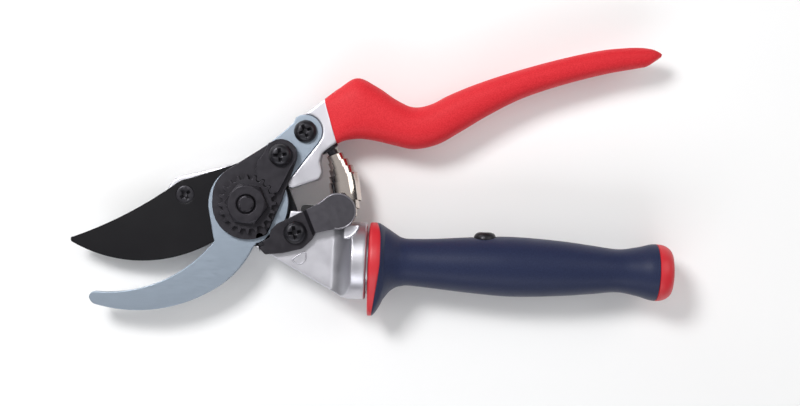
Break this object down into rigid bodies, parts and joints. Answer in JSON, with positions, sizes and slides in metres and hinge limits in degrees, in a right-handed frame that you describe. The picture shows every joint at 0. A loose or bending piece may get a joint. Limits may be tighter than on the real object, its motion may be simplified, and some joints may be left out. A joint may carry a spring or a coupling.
{
  "type": "pruning shears",
  "caption": "One-hand bypass pruning shears with a hooked counter-blade, a turning lower grip, a volute return spring and a thumb catch.",
  "frame": {"origin": "on the pivot axis, at the outer face of the pivot bolt's head, which the shears rest on", "axes": "+X along the turning grip towards its end cap, +Y towards the upper handle, +Z along the pivot towards the adjusting nut"},
  "size_m": [0.21, 0.0986, 0.0274],
  "materials": {
    "cast_aluminium": "satin",
    "coated_blade": "satin low-friction coating",
    "counter_steel": "satin plated",
    "black_steel": "black oxide",
    "spring_steel": "bright nickel plate",
    "bronze": "turned",
    "zinc_steel": "zinc plated",
    "red_coating": "fine grained vinyl",
    "red_plastic": "fine spark texture",
    "navy_overmould": "soft satin",
    "black_rubber": "matte"
  },
  "bodies": {
    "lower_body": {"lower_handle": "cast_aluminium", "cutting_blade": "coated_blade", "blade_screw": "black_steel", "pivot_bush": "bronze", "rubber_buffer": "black_rubber", "spring_seat_lower": "black_steel", "catch_washer": "zinc_steel", "catch_screw": "black_steel", "thrust_washer": "zinc_steel", "volute_spring": "spring_steel"},
    "upper_body": {"upper_handle": "cast_aluminium", "upper_grip": "red_coating", "counter_blade": "counter_steel", "counter_blade_screw": "black_steel", "lock_plate": "black_steel", "toothed_segment": "black_steel", "segment_screw": "black_steel", "pivot_bolt": "black_steel", "adjusting_nut": "black_steel", "spring_seat_upper": "black_steel"},
    "grip_body": {"grip_core": "red_plastic", "grip_sleeve": "navy_overmould", "grip_end_cap": "red_plastic", "grip_screw": "black_steel"},
    "catch_body": {"thumb_catch": "black_steel", "catch_pin": "black_steel"}
  },
  "joints": [
    {"name": "pivot", "type": "hinge", "parent": "lower_body", "child": "upper_body", "pos_m": [0, 0, 0], "axis": [0, 0, 1], "range_deg": [-19.5, 0], "stiffness_Nm_per_rad": 1.9, "springref_deg": 10.89, "deforming": ["volute_spring"]},
    {"name": "grip_turn", "type": "hinge", "parent": "lower_body", "child": "grip_body", "pos_m": [0, -0.0181, 0.0139], "axis": [1, 0, 0], "continuous": true},
    {"name": "catch", "type": "hinge", "parent": "lower_body", "child": "catch_body", "pos_m": [0.017, -0.0091, 0], "axis": [0, 0, 1], "range_deg": [-12, 0]}
  ]
}
